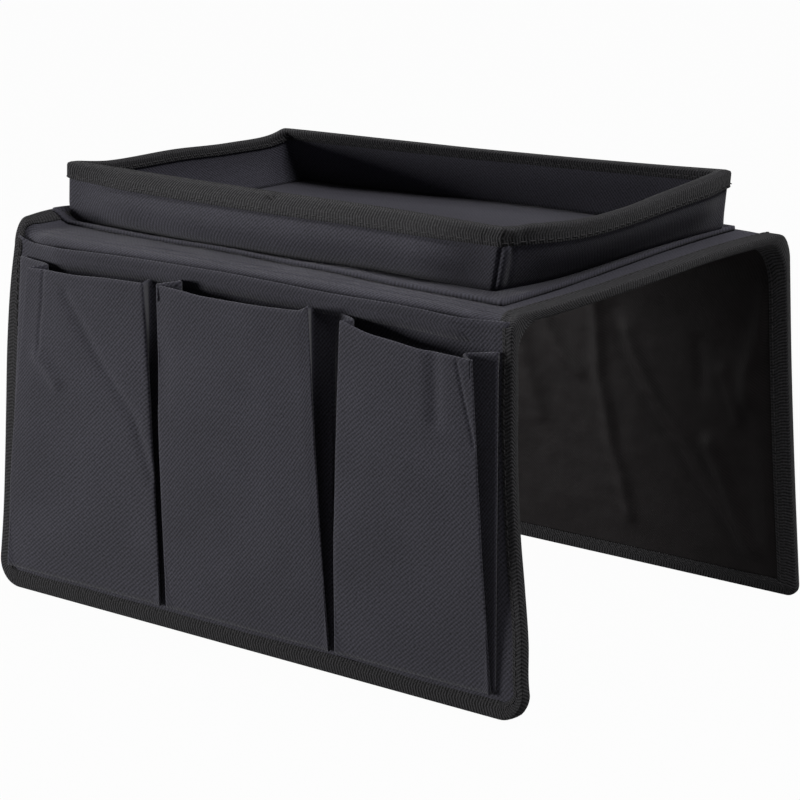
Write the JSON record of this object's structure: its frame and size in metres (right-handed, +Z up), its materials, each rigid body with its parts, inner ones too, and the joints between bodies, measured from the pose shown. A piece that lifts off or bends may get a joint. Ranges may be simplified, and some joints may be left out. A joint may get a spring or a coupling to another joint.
{
  "type": "sofa armrest organizer",
  "caption": "Cloth saddle that hangs over a sofa arm, with a shallow bound tray on top, a wide flat pocket and pleated small pockets on its front flap, and folding stiffened flaps.",
  "frame": {"origin": "middle of the base, at the floor under the two flaps", "axes": "+X along the flaps, -Y out of the front flap with the pockets, +Z up"},
  "size_m": [0.3486, 0.26, 0.219],
  "materials": {
    "twill": "black woven polyester twill, matt",
    "lining": "thin smooth black lining cloth, slight sheen",
    "binding": "ribbed black binding tape, matt",
    "paperboard": "plain grey-brown stiffener board"
  },
  "bodies": {
    "deck": {"back_fold_binding_left": "binding", "back_fold_binding_right": "binding", "back_fold_cover": "twill", "back_fold_lining": "lining", "deck_binding_left": "binding", "deck_binding_right": "binding", "deck_board": "paperboard", "deck_cover": "twill", "deck_lining": "lining", "front_fold_binding_left": "binding", "front_fold_binding_right": "binding", "front_fold_cover": "twill", "front_fold_lining": "lining", "tray_back_board": "paperboard", "tray_back_inner": "twill", "tray_back_outer": "twill", "tray_front_board": "paperboard", "tray_front_inner": "twill", "tray_front_outer": "twill", "tray_left_board": "paperboard", "tray_left_inner": "twill", "tray_left_outer": "twill", "tray_right_board": "paperboard", "tray_right_inner": "twill", "tray_right_outer": "twill", "tray_rim_binding": "binding"},
    "front_flap": {"front_binding": "binding", "front_board": "paperboard", "front_cover": "twill", "front_lining": "lining", "pocket_left": "twill", "pocket_middle": "twill", "pocket_right": "twill", "wide_pocket": "twill"},
    "back_flap": {"back_binding": "binding", "back_board": "paperboard", "back_cover": "twill", "back_lining": "lining"}
  },
  "joints": [
    {"name": "front_fold", "type": "hinge", "parent": "deck", "child": "front_flap", "pos_m": [0, -0.09919, 0.179], "axis": [-1, 0, 0], "range_deg": [-92, 87], "deforming": ["front_fold_binding_left", "front_fold_binding_right", "front_fold_cover", "front_fold_lining"]},
    {"name": "back_fold", "type": "hinge", "parent": "deck", "child": "back_flap", "pos_m": [0, 0.10281, 0.179], "axis": [1, 0, 0], "range_deg": [-45, 84], "deforming": ["back_fold_binding_left", "back_fold_binding_right", "back_fold_cover", "back_fold_lining"]}
  ]
}
